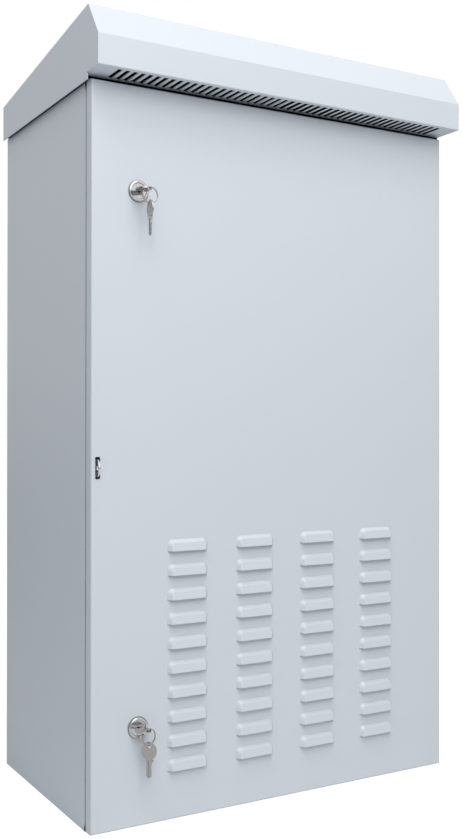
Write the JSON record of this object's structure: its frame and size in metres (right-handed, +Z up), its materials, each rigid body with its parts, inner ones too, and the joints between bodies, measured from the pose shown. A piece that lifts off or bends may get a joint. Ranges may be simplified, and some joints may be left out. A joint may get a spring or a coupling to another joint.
{
  "type": "roadside utility cabinet",
  "caption": "Floor-standing sheet-steel outdoor cabinet with a peaked rain roof, slotted soffit, louvered door, cam locks with keys and a seal lug.",
  "frame": {"origin": "centre of the four anchor holes, on the underside of the base", "axes": "+X to the right as one faces the door, +Y to the back, +Z up"},
  "size_m": [0.613, 0.387, 1.0969],
  "materials": {
    "grey_coat": "light grey powder coat, fine texture, semi-matt",
    "lock_chrome": "bright chrome plate",
    "lug_chrome": "bright zinc-nickel plate",
    "key_nickel": "nickel-plated, lightly worn",
    "zinc_steel": "zinc plate",
    "fastener_steel": "zinc plate",
    "galvanised_sheet": "galvanised, faint spangle",
    "gasket_foam": "closed-cell foam, matt",
    "black_rubber": "smooth rubber",
    "filter_fleece": "white polyester fleece"
  },
  "bodies": {
    "cabinet": {"base_pan": "grey_coat", "body_wrap": "grey_coat", "cable_grommets": "black_rubber", "earth_stud_body": "fastener_steel", "gland_plate": "galvanised_sheet", "gland_screws": "fastener_steel", "hinge_frame_leaf_lower": "zinc_steel", "hinge_frame_leaf_middle": "zinc_steel", "hinge_frame_leaf_upper": "zinc_steel", "hinge_pin_lower": "zinc_steel", "hinge_pin_middle": "zinc_steel", "hinge_pin_upper": "zinc_steel", "hinge_screws": "fastener_steel", "mounting_nuts": "fastener_steel", "mounting_plate": "galvanised_sheet", "mounting_studs": "fastener_steel", "roof_bolts": "fastener_steel", "roof_cover": "grey_coat", "roof_nuts": "fastener_steel", "roof_spacers": "gasket_foam", "seal_lug": "lug_chrome", "top_pan": "grey_coat"},
    "door": {"door_gasket": "gasket_foam", "door_panel": "grey_coat", "earth_nut_door": "fastener_steel", "earth_stud_door": "fastener_steel", "filter_frame": "galvanised_sheet", "filter_mat": "filter_fleece", "filter_nuts": "fastener_steel", "filter_studs": "fastener_steel", "hinge_door_leaf_lower": "zinc_steel", "hinge_door_leaf_middle": "zinc_steel", "hinge_door_leaf_upper": "zinc_steel", "lock_housing_lower": "lock_chrome", "lock_housing_upper": "lock_chrome", "lock_nut_lower": "zinc_steel", "lock_nut_upper": "zinc_steel"},
    "plug_lower": {"cam_screw_lower": "fastener_steel", "key_lower": "key_nickel", "lock_cam_lower": "zinc_steel", "lock_plug_lower": "lock_chrome"},
    "ring_lower": {"key_ring_lower": "key_nickel"},
    "spare_lower": {"spare_key_lower": "key_nickel"},
    "plug_upper": {"cam_screw_upper": "fastener_steel", "key_upper": "key_nickel", "lock_cam_upper": "zinc_steel", "lock_plug_upper": "lock_chrome"},
    "ring_upper": {"key_ring_upper": "key_nickel"},
    "spare_upper": {"spare_key_upper": "key_nickel"}
  },
  "joints": [
    {"name": "door_hinge", "type": "hinge", "parent": "cabinet", "child": "door", "pos_m": [0.294, -0.1765, 0.5], "axis": [0, 0, 1], "range_deg": [0, 110]},
    {"name": "lock_lower_turn", "type": "hinge", "parent": "door", "child": "plug_lower", "pos_m": [-0.232, -0.185, 0.134], "axis": [0, 1, 0], "range_deg": [0, 90]},
    {"name": "key_ring_lower_turn", "type": "hinge", "parent": "plug_lower", "child": "ring_lower", "pos_m": [-0.232, -0.208, 0.134], "axis": [0, 1, 0], "range_deg": [-90, 0]},
    {"name": "spare_key_lower_swing", "type": "hinge", "parent": "ring_lower", "child": "spare_lower", "pos_m": [-0.22543, -0.20624, 0.1148], "axis": [0.788, 0.6157, 0], "range_deg": [-60, 20]},
    {"name": "lock_upper_turn", "type": "hinge", "parent": "door", "child": "plug_upper", "pos_m": [-0.232, -0.185, 0.858], "axis": [0, 1, 0], "range_deg": [0, 90]},
    {"name": "key_ring_upper_turn", "type": "hinge", "parent": "plug_upper", "child": "ring_upper", "pos_m": [-0.232, -0.208, 0.858], "axis": [0, 1, 0], "range_deg": [-90, 0]},
    {"name": "spare_key_upper_swing", "type": "hinge", "parent": "ring_upper", "child": "spare_upper", "pos_m": [-0.2252, -0.208, 0.8388], "axis": [0.9962, -0.0872, 0], "range_deg": [-60, 20]}
  ],
  "couplings": [
    {"joint": "key_ring_lower_turn", "follows": "lock_lower_turn", "ratio": -1},
    {"joint": "key_ring_upper_turn", "follows": "lock_upper_turn", "ratio": -1}
  ]
}
